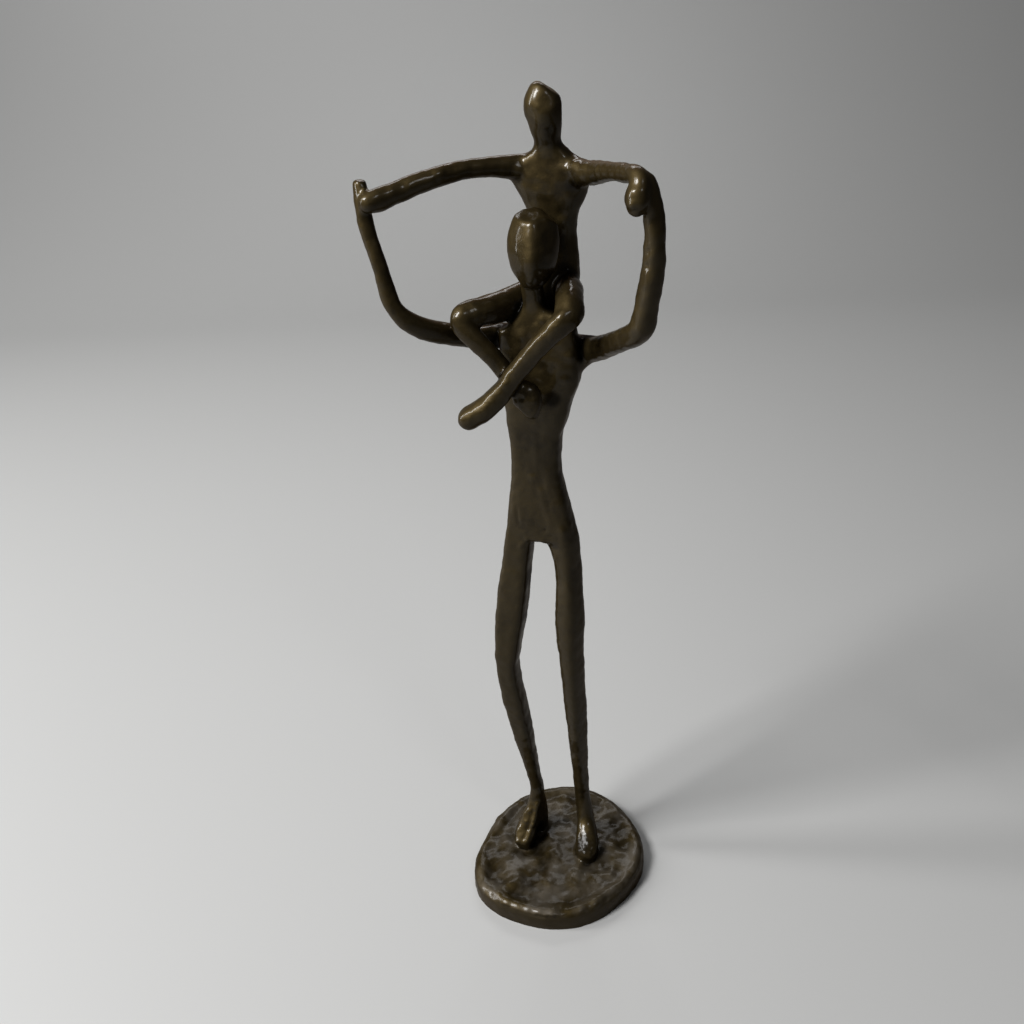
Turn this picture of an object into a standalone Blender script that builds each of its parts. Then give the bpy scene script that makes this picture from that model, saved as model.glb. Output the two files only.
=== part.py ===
# A cast iron figure group: a tall thin figure on a round base carries a child on its shoulders.
# The child's legs cross on the carrier's chest, and the two hold hands at both sides.
# Metres, +Z up. Both figures face -Y, and the origin is the centre of the base's underside.
import math

import bmesh
import bpy
from mathutils import Vector

# Driving dimensions, in metres
FIGURE_HEIGHT = 0.2762        # from the top of the base to the child's crown
BASE_RADIUS = 0.03315         # mean radius of the base, which is cast a little out of round
BASE_THICKNESS = 0.0070       # from the underside to the level the feet stand on
BASE_RIM_ROUNDING = 0.0028    # radius of the base's upper edge
BASE_LIP_HEIGHT = 0.0006      # how far a soft lip stands up near the base's edge
BASE_LIP_WIDTH = 0.0026       # width of that lip
BASE_LUMP_HEIGHT = 0.0007     # height of the lumps in the base's top
BASE_LUMP_WIDTH = 0.0085      # distance from lump to lump
FOOT_SINK = 0.0006            # how far the soles run into the base, so that they are one casting

# Fineness of the solid
GRID_STEPS = 324              # steps in the figure's height of the grid that fuses the forms
SKIN_SMOOTHING = 5            # passes that soften the joins between limbs
FACE_SHARE = 0.085            # share of the skin's faces that the finished solid keeps
RING_SIDES = 20               # corners of the loop round a limb
RING_STEPS = 4                # loops from one written station to the next
CAP_STEPS = 4                 # loops that round off the end of a limb
BASE_SIDES = 72               # corners of the base's outline
TOP_STEPS = 16                # loops from the middle of the base's top to its rim
RIM_STEPS = 6                 # loops round the base's upper edge

# The stations below are written in millimetres for a group of this height and scaled to
# FIGURE_HEIGHT. A station is x, y, z, half width, half depth, with z from the top of the base.
WRITTEN_HEIGHT = 276.2

# Shape of a loop round a limb, as a power: 2 is an ellipse, more is squarer, less comes to a ridge
ROUND = 2.0
SOFT_SQUARE = 2.8
SQUARE = 4.4
SOFT_RIDGE = 1.85
RIDGE = 1.45

# How far an end bulges, as a share of its smaller half size
ROUND_END = 1.0
SOFT_END = 0.6
BLUNT_END = 0.3

# Directions that the fronts of the forms face
FORWARD = Vector((0.0, -1.0, 0.0))
LEFT_LEG_FRONT = Vector((-0.40, -0.92, 0.0))
RIGHT_ARM_FRONT = Vector((0.65, -0.76, 0.0))
LEFT_ARM_FRONT = Vector((-0.65, -0.76, 0.0))
INSTEP_FRONT = Vector((0.0, -0.8, 0.6))
HEAD_FRONT = Vector((0.28, -0.96, 0.0))
RIGHT_KNEE_FRONT = Vector((0.70, -0.53, 0.35))
LEFT_KNEE_FRONT = Vector((0.71, 0.33, -0.60))
FOOT_FRONT = Vector((0.20, -0.97, 0.15))


def curve_through(stations, steps):
    # A smooth curve through the stations, with that many rows from each one to the next
    rows = []
    last = len(stations) - 1
    for index in range(last):
        before = stations[max(index - 1, 0)]
        start = stations[index]
        end = stations[index + 1]
        after = stations[min(index + 2, last)]
        for step in range(steps):
            t = step / steps
            rows.append([
                0.5 * (2 * q + (r - p) * t + (2 * p - 5 * q + 4 * r - s) * t ** 2
                       + (3 * q - p - 3 * r + s) * t ** 3)
                for p, q, r, s in zip(before, start, end, after)
            ])
    rows.append(list(stations[-1]))
    return rows


def bent(value, power):
    # A sine or cosine bent to the power of the loop, with its sign kept
    return math.copysign(abs(value) ** (2.0 / power), value)


def add_loop(bm, centre, along, front, half_width, half_depth, powers):
    # A closed loop of edges round a limb. Its front and its back have a power each.
    side = along.cross(front).normalized()
    face = side.cross(along).normalized()
    loop = bmesh.ops.create_circle(bm, cap_ends=False, segments=RING_SIDES, radius=1.0)["verts"]
    for vert in loop:
        power = powers[0] if vert.co.y > 0 else powers[1]
        across = bent(vert.co.x, power) * half_width
        ahead = bent(vert.co.y, power) * half_depth
        vert.co = centre + side * across + face * ahead
    return loop


def loop_edges(loop):
    members = set(loop)
    return list({edge for vert in loop for edge in vert.link_edges
                 if edge.verts[0] in members and edge.verts[1] in members})


def skin_loops(bm, loops):
    # Faces from each loop to the next, and one over each end
    edges = [loop_edges(loop) for loop in loops]
    for first, second in zip(edges, edges[1:]):
        bmesh.ops.bridge_loops(bm, edges=first + second)
    for end in (edges[0], edges[-1]):
        bmesh.ops.edgeloop_fill(bm, edges=end)


def placed(point):
    # A written point in metres, over the base
    return Vector(point) * (FIGURE_HEIGHT / WRITTEN_HEIGHT) + Vector((0.0, 0.0, BASE_THICKNESS))


def add_limb(whole, stations, front, powers=(ROUND, ROUND), bulge=ROUND_END, trims=()):
    # A closed form along the stations. Its ends bulge by a share of the end's smaller half size.
    # Each trim is a point and a direction, and cuts off flat what lies beyond the point.
    bm = bmesh.new()
    share = FIGURE_HEIGHT / WRITTEN_HEIGHT
    rows = curve_through(stations, RING_STEPS)
    centres = [placed(row[:3]) for row in rows]
    halves = [(row[3] * share, row[4] * share) for row in rows]
    loops = []
    last = len(rows) - 1
    for index, centre in enumerate(centres):
        along = (centres[min(index + 1, last)] - centres[max(index - 1, 0)]).normalized()
        width, depth = halves[index]
        if index == 0:
            loops += end_loops(bm, centre, -along, front, width, depth, powers, bulge)[::-1]
        loops.append(add_loop(bm, centre, along, front, width, depth, powers))
        if index == last:
            loops += end_loops(bm, centre, along, front, width, depth, powers, bulge)
    skin_loops(bm, loops)
    for point, direction in trims:
        bmesh.ops.bisect_plane(bm, geom=bm.verts[:] + bm.edges[:] + bm.faces[:],
                               plane_co=placed(point), plane_no=Vector(direction), clear_outer=True)
        bmesh.ops.edgeloop_fill(bm, edges=[edge for edge in bm.edges if edge.is_boundary])
    mesh = bpy.data.meshes.new("limb")
    bm.to_mesh(mesh)
    bm.free()
    whole.from_mesh(mesh)
    bpy.data.meshes.remove(mesh)


def end_loops(bm, centre, outward, front, width, depth, powers, bulge):
    # Shrinking loops that round off one end of a limb, going outward
    reach = bulge * min(width, depth)
    loops = []
    for step in range(1, CAP_STEPS):
        angle = math.pi / 2 * step / (CAP_STEPS - 0.5)
        place = centre + outward * (reach * math.sin(angle))
        shrink = math.cos(angle)
        loops.append(add_loop(bm, place, outward, front, width * shrink, depth * shrink, powers))
    return loops


def add_carrier_trunk(bm):
    # Hips, waist, chest and neck, as one slab that is flat in front
    add_limb(bm, [
        (-4.3, 5.0, 138.0, 11.8, 4.9),
        (-4.4, 5.0, 142.5, 11.4, 5.0),
        (-4.6, 5.0, 148.0, 10.4, 5.1),
        (-5.0, 5.0, 155.0, 9.1, 4.8),
        (-5.4, 5.0, 161.0, 8.2, 4.5),
        (-5.2, 5.0, 168.5, 8.2, 4.5),
        (-5.2, 4.8, 176.0, 8.9, 4.9),
        (-4.3, 4.5, 182.0, 10.1, 5.3),
        (-3.5, 4.3, 189.5, 11.6, 5.5),
        (-2.6, 4.0, 196.0, 12.7, 5.6),
        (-2.5, 3.6, 202.0, 12.5, 5.2),
        (-2.6, 3.2, 206.5, 12.2, 4.6),
        (-2.6, 3.0, 209.6, 11.6, 4.0),
        (-3.0, 3.0, 212.0, 8.2, 3.6),
        (-3.5, 3.0, 214.6, 4.3, 3.4),
        (-3.7, 2.8, 217.5, 2.9, 3.2),
        (-3.7, 2.0, 221.0, 2.8, 3.2),
        (-3.4, 1.0, 225.5, 3.0, 3.4),
    ], FORWARD, (SQUARE, SOFT_SQUARE), SOFT_END)


def add_carrier_head(bm):
    # A faceless egg with a ridge down its front, a blunt chin and a crown cut flat
    add_limb(bm, [
        (-2.8, -0.4, 223.8, 3.9, 4.8),
        (-2.5, -0.7, 226.8, 5.9, 6.8),
        (-2.3, -0.8, 230.6, 7.1, 7.9),
        (-2.3, -0.6, 234.5, 7.5, 8.2),
        (-2.4, -0.3, 239.0, 6.9, 7.5),
        (-2.5, 0.0, 242.0, 5.9, 6.0),
        (-2.7, 0.2, 243.6, 4.7, 4.3),
        (-2.8, 0.3, 245.0, 3.0, 2.6),
    ], HEAD_FRONT, (RIDGE, ROUND), BLUNT_END, [((-2.8, 0.0, 243.5), (-0.06, -0.10, 1.0))])


def add_carrier_legs(bm):
    add_limb(bm, [
        (-11.0, 5.0, 141.0, 4.7, 4.4),
        (-12.1, 5.0, 134.5, 4.7, 4.8),
        (-13.4, 5.0, 125.5, 4.8, 4.9),
        (-14.9, 4.0, 114.0, 5.2, 5.1),
        (-16.2, 3.0, 102.0, 5.0, 5.0),
        (-17.4, 2.0, 90.0, 4.2, 4.7),
        (-17.8, 2.2, 82.5, 3.7, 4.4),
        (-16.8, 4.0, 68.0, 3.8, 4.4),
        (-15.0, 5.5, 53.0, 3.5, 4.0),
        (-13.0, 7.0, 38.0, 2.7, 3.2),
        (-11.3, 8.2, 24.0, 2.2, 2.8),
        (-10.9, 8.6, 17.0, 2.5, 3.2),
        (-10.7, 9.0, 10.0, 2.9, 3.8),
        (-10.7, 8.8, 3.0, 3.2, 4.2),
    ], FORWARD, (SQUARE, SOFT_SQUARE))
    add_limb(bm, [
        (1.8, 5.0, 142.0, 5.4, 4.4),
        (3.2, 5.0, 136.0, 5.2, 4.5),
        (4.3, 5.0, 130.5, 4.1, 4.5),
        (4.9, 5.0, 125.0, 3.8, 4.5),
        (5.2, 4.5, 117.5, 3.8, 4.5),
        (5.4, 4.0, 105.5, 4.3, 4.8),
        (5.6, 4.0, 93.0, 3.7, 4.4),
        (5.9, 5.0, 79.5, 3.4, 4.2),
        (6.1, 6.5, 65.0, 3.3, 4.0),
        (6.4, 8.0, 50.0, 2.8, 3.6),
        (6.4, 10.0, 33.5, 2.5, 3.1),
        (6.5, 11.6, 22.0, 2.4, 2.9),
        (7.0, 12.4, 12.0, 2.6, 3.0),
        (7.8, 12.2, 4.0, 3.0, 3.4),
    ], LEFT_LEG_FRONT, (SQUARE, SOFT_SQUARE))


def add_carrier_feet(bm):
    # Each foot runs from the shin down the instep to the toe, and sinks a little into the base
    sink = FOOT_SINK / FIGURE_HEIGHT * WRITTEN_HEIGHT
    for stations, powers, bulge in (
        ([
            (-10.8, 8.0, 22.6, 2.2, 2.7),
            (-11.1, 7.3, 17.5, 2.7, 3.0),
            (-11.6, 6.0, 13.0, 3.2, 3.4),
            (-12.3, 4.1, 9.2, 3.8, 3.6),
            (-12.9, 1.8, 5.5, 4.2, 3.4),
            (-13.4, -0.9, 3.1, 4.0, 2.8),
            (-13.8, -3.1, 1.7, 3.3, 2.3),
        ], (SQUARE, SOFT_SQUARE), SOFT_END),
        ([
            (7.0, 12.0, 20.6, 2.3, 2.7),
            (7.4, 11.6, 16.2, 2.6, 3.1),
            (8.0, 10.7, 11.6, 3.0, 3.5),
            (8.9, 8.9, 7.9, 3.6, 3.8),
            (10.1, 5.5, 5.5, 4.3, 3.8),
            (11.1, 2.0, 3.6, 4.6, 3.4),
            (11.8, -0.7, 2.6, 4.0, 2.8),
            (12.1, -1.8, 2.0, 3.2, 2.4),
        ], (ROUND, SOFT_SQUARE), ROUND_END),
    ):
        sunk = [(x, y, z - sink, width, depth) for x, y, z, width, depth in stations]
        add_limb(bm, sunk, INSTEP_FRONT, powers, bulge)


def add_carrier_arms(bm):
    # The arms come from behind the chest's edges and reach forward and up to the child's hands
    add_limb(bm, [
        (-7.0, 8.6, 204.4, 4.2, 4.0),
        (-15.2, 7.6, 204.0, 3.5, 3.5),
        (-22.2, 0.8, 205.5, 3.3, 3.4),
        (-26.9, -6.8, 208.3, 3.3, 3.3),
        (-31.4, -13.4, 211.2, 3.2, 3.2),
        (-35.5, -18.0, 215.1, 2.9, 3.0),
        (-38.1, -19.8, 219.2, 2.6, 2.8),
        (-39.7, -20.2, 223.6, 2.5, 2.6),
        (-41.6, -20.4, 232.5, 2.3, 2.4),
        (-44.3, -19.8, 241.2, 2.2, 2.4),
        (-45.4, -19.4, 247.6, 2.1, 2.6),
        (-45.6, -19.2, 251.4, 2.1, 2.9),
        (-45.6, -19.1, 253.9, 2.0, 2.5),
    ], RIGHT_ARM_FRONT, (ROUND, ROUND), SOFT_END)
    add_limb(bm, [
        (-45.0, -19.8, 248.8, 1.8, 2.2),
        (-44.2, -20.4, 250.4, 1.6, 2.0),
        (-43.4, -20.8, 251.4, 1.1, 1.5),
    ], RIGHT_ARM_FRONT)
    add_limb(bm, [
        (6.0, 10.2, 201.2, 4.2, 4.0),
        (12.4, 6.6, 202.6, 4.0, 3.7),
        (19.3, -0.8, 206.1, 3.4, 3.4),
        (28.2, -12.4, 212.8, 3.2, 3.3),
        (34.0, -18.4, 217.7, 3.3, 3.3),
        (36.1, -20.2, 226.0, 3.1, 3.0),
        (37.5, -21.0, 234.3, 2.9, 2.8),
        (38.0, -21.8, 242.0, 2.7, 2.6),
        (37.6, -22.0, 248.5, 2.5, 2.6),
        (36.6, -22.0, 253.6, 2.4, 2.5),
        (35.6, -22.0, 256.2, 2.3, 2.3),
    ], LEFT_ARM_FRONT, (SOFT_SQUARE, ROUND))
    add_limb(bm, [
        (6.0, 6.0, 198.2, 3.2, 3.0),
        (9.6, 6.2, 198.6, 2.6, 2.8),
        (12.6, 5.4, 200.6, 2.3, 2.6),
    ], FORWARD)


def add_child_trunk(bm):
    add_limb(bm, [
        (-1.0, 11.6, 209.5, 5.8, 4.0),
        (-1.0, 12.6, 213.5, 6.6, 5.0),
        (-0.9, 13.4, 218.5, 7.2, 5.2),
        (-0.6, 13.8, 223.5, 7.4, 5.2),
        (-0.4, 14.0, 229.0, 6.8, 4.7),
        (-0.7, 14.0, 235.0, 6.6, 4.3),
        (-0.9, 13.5, 240.2, 7.5, 4.4),
        (-0.8, 13.1, 243.4, 8.7, 4.5),
        (-0.7, 12.8, 246.6, 10.4, 4.6),
        (-0.8, 12.6, 249.6, 11.5, 4.6),
        (-0.9, 12.4, 252.4, 11.5, 4.4),
        (-1.0, 12.2, 254.8, 10.0, 4.1),
        (-1.0, 12.0, 256.5, 8.0, 3.8),
        (-1.0, 11.8, 257.9, 5.8, 3.6),
        (-1.1, 11.5, 259.4, 4.2, 3.5),
        (-1.1, 11.2, 261.0, 3.5, 3.5),
        (-1.2, 10.8, 263.0, 3.6, 3.9),
    ], FORWARD, (SOFT_SQUARE, ROUND))


def add_child_head(bm):
    # A faceless egg, cut flat at its left side and on the left of its crown
    add_limb(bm, [
        (-1.2, 10.8, 261.4, 3.7, 4.2),
        (-1.2, 10.5, 264.6, 4.9, 5.2),
        (-1.1, 10.2, 266.9, 5.5, 5.9),
        (-1.3, 10.0, 269.0, 6.0, 6.2),
        (-1.5, 10.0, 271.0, 6.0, 6.1),
        (-1.5, 10.0, 273.2, 5.1, 5.3),
        (-1.5, 10.1, 275.0, 3.7, 3.8),
        (-1.5, 10.1, 275.9, 2.4, 2.5),
    ], HEAD_FRONT, (SOFT_RIDGE, ROUND), SOFT_END,
       [((3.5, 10.0, 268.0), (0.927, 0.375, 0.0)), ((2.7, 10.0, 273.0), (0.50, 0.20, 0.84))])


def add_child_arms(bm):
    # The right arm ends in a stub, and the left one in a soft lump over the carrier's hand
    add_limb(bm, [
        (-4.5, 12.4, 252.2, 4.0, 3.8),
        (-10.1, 11.6, 253.3, 3.8, 3.6),
        (-16.6, 5.0, 254.4, 3.0, 3.0),
        (-22.9, -2.0, 254.5, 2.7, 2.7),
        (-29.0, -9.0, 253.2, 3.0, 3.0),
        (-35.5, -15.2, 251.0, 3.1, 3.0),
        (-39.2, -19.4, 249.6, 3.2, 3.0),
        (-41.6, -22.0, 249.0, 2.9, 2.9),
    ], RIGHT_ARM_FRONT)
    add_limb(bm, [
        (3.5, 12.0, 252.6, 3.8, 3.8),
        (8.0, 10.8, 252.8, 3.9, 3.7),
        (11.8, 7.2, 253.0, 3.7, 3.5),
        (16.0, 2.8, 253.9, 3.1, 3.1),
        (22.3, -6.0, 255.6, 2.6, 2.5),
        (29.3, -16.0, 256.9, 2.5, 2.4),
        (33.0, -21.8, 257.4, 2.6, 2.5),
        (34.8, -24.4, 255.8, 2.6, 2.4),
    ], LEFT_ARM_FRONT)
    add_limb(bm, [
        (34.9, -24.4, 256.2, 2.2, 2.2),
        (34.3, -25.2, 254.2, 3.2, 2.7),
        (34.1, -25.6, 251.9, 3.7, 2.9),
        (34.2, -25.4, 250.1, 2.7, 2.4),
    ], LEFT_ARM_FRONT)


def add_child_legs(bm):
    # The thighs lie over the carrier's shoulders, and the shins cross in front of its chest
    add_limb(bm, [
        (-3.5, 13.5, 218.4, 4.9, 4.6),
        (-7.8, 11.0, 216.9, 4.6, 4.4),
        (-13.6, 2.0, 215.5, 4.4, 4.1),
        (-17.2, -5.0, 215.5, 4.1, 3.7),
        (-21.0, -9.2, 214.8, 4.1, 3.5),
        (-21.2, -10.6, 212.2, 3.5, 3.2),
        (-17.7, -10.2, 208.4, 3.1, 2.9),
        (-13.0, -8.6, 202.8, 3.0, 2.8),
        (-8.9, -7.4, 196.8, 2.9, 2.7),
        (-6.0, -7.0, 193.2, 2.8, 2.5),
        (-3.8, -7.2, 191.4, 2.6, 2.2),
    ], RIGHT_KNEE_FRONT)
    add_limb(bm, [
        (-5.4, -7.2, 195.0, 2.6, 2.2),
        (-4.4, -7.8, 193.4, 3.9, 2.8),
        (-2.9, -8.3, 191.2, 4.7, 3.1),
        (-1.9, -8.4, 188.8, 4.1, 2.8),
        (-1.5, -8.2, 186.6, 3.0, 2.3),
        (-1.6, -8.0, 184.8, 1.9, 1.7),
    ], FOOT_FRONT, (SOFT_RIDGE, ROUND), BLUNT_END)
    add_limb(bm, [
        (0.2, 15.0, 218.4, 4.4, 4.4),
        (3.0, 12.4, 219.4, 4.2, 4.2),
        (6.0, 6.5, 220.2, 4.0, 4.1),
        (8.3, 0.0, 219.9, 3.9, 4.0),
        (10.2, -5.6, 218.9, 4.0, 4.0),
        (11.2, -9.4, 217.0, 4.0, 3.9),
        (8.6, -11.8, 214.6, 3.4, 3.2),
        (1.7, -12.2, 207.4, 3.1, 3.0),
        (-4.8, -12.0, 199.4, 3.1, 2.9),
        (-9.4, -12.0, 193.1, 3.6, 3.2),
        (-14.2, -11.8, 187.3, 4.1, 3.4),
        (-19.6, -11.5, 183.0, 3.8, 3.3),
    ], LEFT_KNEE_FRONT)


def outline_share(angle):
    # How far the poured base reaches in a direction, as a share of its mean radius
    waves = ((0.036, 1, 1.5), (0.059, 2, 2.65), (0.026, 3, -0.51), (0.0105, 4, 2.4), (0.0117, 5, 0.94))
    return 1 + sum(height * math.cos(count * angle - offset) for height, count, offset in waves)


def lip_rise(radius):
    # Height of the soft lip at a distance from the middle
    ridge = BASE_RADIUS - BASE_RIM_ROUNDING
    return BASE_LIP_HEIGHT * math.exp(-((radius - ridge) / (BASE_LIP_WIDTH / 2)) ** 2)


def base_lump(x, y):
    # Height of the lumpy top at a place: two crossing rows of waves that wander
    turn = 2 * math.pi / BASE_LUMP_WIDTH
    along = math.sin(turn * x + 1.3 * math.sin(0.53 * turn * y))
    across = math.sin(0.87 * turn * y + 1.7 * math.sin(0.61 * turn * x + 1.0))
    return BASE_LUMP_HEIGHT * 0.5 * (along + across)


def base_profile():
    # Radius, height over the top, and share of the lumps, from the middle out and down the edge
    rim = BASE_RADIUS - BASE_RIM_ROUNDING
    rows = [(rim * step / TOP_STEPS, lip_rise(rim * step / TOP_STEPS), 1.0)
            for step in range(1, TOP_STEPS)]
    for step in range(RIM_STEPS + 1):
        angle = math.pi / 2 * step / RIM_STEPS
        radius = rim + BASE_RIM_ROUNDING * math.sin(angle)
        drop = BASE_RIM_ROUNDING * (1 - math.cos(angle))
        rows.append((radius, lip_rise(radius) * math.cos(angle) - drop, math.cos(angle)))
    rows.append((BASE_RADIUS, -BASE_THICKNESS - BASE_RIM_ROUNDING, 0.0))    # below the floor cut
    return rows


def add_base(bm):
    # Loops from the middle of the top out over the rim and down past the underside
    loops = []
    for radius, rise, lumpiness in base_profile():
        loop = bmesh.ops.create_circle(bm, cap_ends=False, segments=BASE_SIDES, radius=1.0)["verts"]
        for vert in loop:
            angle = math.atan2(vert.co.y, vert.co.x)
            out = radius * outline_share(angle)
            x = out * math.cos(angle)
            y = out * math.sin(angle)
            vert.co = (x, y, BASE_THICKNESS + rise + lumpiness * base_lump(x, y))
        loops.append(loop)
    skin_loops(bm, loops)


def make_iron():
    # Dark brown-black iron with a thin, slightly glossy finish
    material = bpy.data.materials.new("dark_patinated_iron")
    material.use_nodes = True
    shader = material.node_tree.nodes["Principled BSDF"]
    shader.inputs["Base Color"].default_value = (0.030, 0.024, 0.015, 1.0)
    shader.inputs["Metallic"].default_value = 0.6
    shader.inputs["Roughness"].default_value = 0.38
    return material


def add_floor_cutter():
    # A block below the floor level, which cuts the underside flat
    size = 4 * BASE_RADIUS
    bm = bmesh.new()
    bmesh.ops.create_cube(bm, size=size)
    bmesh.ops.translate(bm, verts=bm.verts, vec=(0.0, 0.0, -size / 2))
    mesh = bpy.data.meshes.new("floor_cutter")
    bm.to_mesh(mesh)
    bm.free()
    cutter = bpy.data.objects.new("floor_cutter", mesh)
    cutter.display_type = "WIRE"
    cutter.hide_render = True
    bpy.context.scene.collection.objects.link(cutter)
    return cutter


def fuse_skin(group, cutter):
    # One skin over all limbs and the base, softened at the joins, with a flat underside
    remesh = group.modifiers.new("one_skin", "REMESH")
    remesh.mode = "VOXEL"
    remesh.voxel_size = FIGURE_HEIGHT / GRID_STEPS
    smooth = group.modifiers.new("soft_joins", "SMOOTH")
    smooth.factor = 0.5
    smooth.iterations = SKIN_SMOOTHING
    fewer = group.modifiers.new("fewer_faces", "DECIMATE")
    fewer.ratio = FACE_SHARE
    cut = group.modifiers.new("flat_underside", "BOOLEAN")
    cut.operation = "DIFFERENCE"
    cut.object = cutter


def build_group():
    bm = bmesh.new()
    add_carrier_trunk(bm)
    add_carrier_head(bm)
    add_carrier_legs(bm)
    add_carrier_feet(bm)
    add_carrier_arms(bm)
    add_child_trunk(bm)
    add_child_head(bm)
    add_child_arms(bm)
    add_child_legs(bm)
    add_base(bm)
    bmesh.ops.recalc_face_normals(bm, faces=bm.faces)
    mesh = bpy.data.meshes.new("figure_group")
    bm.to_mesh(mesh)
    bm.free()
    mesh.shade_smooth()
    group = bpy.data.objects.new("figure_group", mesh)
    group.data.materials.append(make_iron())
    bpy.context.scene.collection.objects.link(group)
    fuse_skin(group, add_floor_cutter())


for old in list(bpy.data.objects):
    bpy.data.objects.remove(old, do_unlink=True)
build_group()
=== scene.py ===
import math

import bmesh
import bpy
import numpy as np
from mathutils import Euler, Matrix, Vector, noise


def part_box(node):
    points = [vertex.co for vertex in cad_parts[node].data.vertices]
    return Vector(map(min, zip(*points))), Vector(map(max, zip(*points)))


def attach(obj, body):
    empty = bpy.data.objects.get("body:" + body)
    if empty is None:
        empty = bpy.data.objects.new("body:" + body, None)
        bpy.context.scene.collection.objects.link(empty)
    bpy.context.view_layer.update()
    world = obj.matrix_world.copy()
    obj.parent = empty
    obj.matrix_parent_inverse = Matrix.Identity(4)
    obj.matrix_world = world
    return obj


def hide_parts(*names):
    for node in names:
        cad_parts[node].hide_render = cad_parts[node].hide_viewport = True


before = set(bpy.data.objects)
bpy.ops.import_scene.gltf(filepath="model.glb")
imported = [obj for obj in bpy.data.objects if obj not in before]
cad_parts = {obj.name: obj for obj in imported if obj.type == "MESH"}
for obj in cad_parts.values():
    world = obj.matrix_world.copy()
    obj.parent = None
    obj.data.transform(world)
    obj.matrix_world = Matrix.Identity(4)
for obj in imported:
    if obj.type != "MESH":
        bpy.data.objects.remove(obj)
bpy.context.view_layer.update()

# Stations and marks are written in millimetres for a group of this height, and the packed
# node gives the real one. Heights are counted from the top of the base.
written = {"groupHeight": 283.2, "baseThickness": 7.0}
nodeLow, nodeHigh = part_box("figure_group")
unit = (nodeHigh.z - nodeLow.z) / written["groupHeight"]


def placed(x, y, z):
    return Vector((x, y, z + written["baseThickness"])) * unit


# camera at the photograph's angle: its turn round the group, pitch and roll in degrees, lens and
# sensor in millimetres, nearest distance seen in metres, and place
cameraValues = {"turn": 22.0, "pitch": 27.5, "roll": 2.7, "lens": 35.33, "sensor": 36.0,
                "nearest": 0.01, "place": (96.8, -271.3, 306.2)}


def addCamera(values):
    data = bpy.data.cameras.new("camera")
    data.lens = values["lens"]
    data.sensor_width = values["sensor"]
    data.sensor_fit = "HORIZONTAL"
    data.clip_start = values["nearest"]
    camera = bpy.data.objects.new("camera", data)
    turn = Matrix.Rotation(math.radians(values["turn"]), 4, "Z")
    pitch = Matrix.Rotation(math.radians(90 - values["pitch"]), 4, "X")
    roll = Matrix.Rotation(math.radians(-values["roll"]), 4, "Z")
    camera.matrix_world = Matrix.Translation(Vector(values["place"]) * unit) @ turn @ pitch @ roll
    bpy.context.scene.collection.objects.link(camera)
    bpy.context.scene.camera = camera


# lights: angle round the group and above it in degrees, distance and size in metres, power
lightValues = {
    "key": {"round": -44, "above": 46, "away": 1.2, "size": (0.38, 0.38), "watts": 36},
    "lamp": {"round": 50, "above": 46, "away": 1.3, "size": (0.24, 0.24), "watts": 2.5},
    "back": {"round": 203, "above": 38, "away": 1.3, "size": (0.8, 0.27), "watts": 6},
    "window": {"round": -72, "above": 24, "away": 1.2, "size": (0.15, 0.9), "watts": 18},
}


def addLight(name, values):
    data = bpy.data.lights.new(name, "AREA")
    data.shape = "RECTANGLE"
    data.size, data.size_y = values["size"]
    data.energy = values["watts"]
    light = bpy.data.objects.new(name, data)
    turn, rise = math.radians(values["round"]), math.radians(values["above"])
    away = Vector((math.sin(turn) * math.cos(rise), -math.cos(turn) * math.cos(rise), math.sin(rise)))
    middle = Vector((0, 0, nodeHigh.z / 2))
    light.location = middle + away * values["away"]
    light.rotation_mode = "QUATERNION"
    light.rotation_quaternion = away.to_track_quat("Z", "Y")
    bpy.context.scene.collection.objects.link(light)


# a pale floor that sweeps up behind the group, square to the camera: lengths in metres
studio = {"air": (0.82, 0.83, 0.85), "airStrength": 0.09, "front": 3.0, "back": 0.75, "bend": 0.55,
          "height": 2.2, "width": 5.0, "steps": 24, "colour": (0.20, 0.20, 0.197), "roughness": 0.6}


def addStudio(values):
    world = bpy.data.worlds.new("air")
    world.use_nodes = True
    background = world.node_tree.nodes["Background"]
    background.inputs["Color"].default_value = (*values["air"], 1)
    background.inputs["Strength"].default_value = values["airStrength"]
    bpy.context.scene.world = world
    bm = bmesh.new()
    start = bm.verts.new((0, -values["front"], 0))
    corner = bm.verts.new((0, values["back"], 0))
    bm.edges.new((start, corner))
    spun = bmesh.ops.spin(bm, geom=[corner], cent=(0, values["back"], values["bend"]), axis=(1, 0, 0),
                          angle=math.pi / 2, steps=values["steps"])["geom_last"]
    top = bmesh.ops.extrude_vert_indiv(bm, verts=[v for v in spun if isinstance(v, bmesh.types.BMVert)])
    bmesh.ops.translate(bm, verts=top["verts"], vec=(0, 0, values["height"] - values["bend"]))
    for vert in bm.verts:
        vert.co.x = -values["width"] / 2
    wide = bmesh.ops.extrude_edge_only(bm, edges=bm.edges[:])["geom"]
    bmesh.ops.translate(bm, verts=[v for v in wide if isinstance(v, bmesh.types.BMVert)],
                        vec=(values["width"], 0, 0))
    bmesh.ops.rotate(bm, verts=bm.verts, cent=(0, 0, 0),
                     matrix=Matrix.Rotation(math.radians(cameraValues["turn"]), 3, "Z"))
    for face in bm.faces:
        face.smooth = True
    bmesh.ops.recalc_face_normals(bm, faces=bm.faces)
    mesh = bpy.data.meshes.new("sweep")
    bm.to_mesh(mesh)
    bm.free()
    sweep = bpy.data.objects.new("sweep", mesh)
    material = bpy.data.materials.new("palePaper")
    material.use_nodes = True
    shader = material.node_tree.nodes["Principled BSDF"]
    shader.inputs["Base Color"].default_value = (*values["colour"], 1)
    shader.inputs["Roughness"].default_value = values["roughness"]
    mesh.materials.append(material)
    bpy.context.scene.collection.objects.link(sweep)


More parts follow.
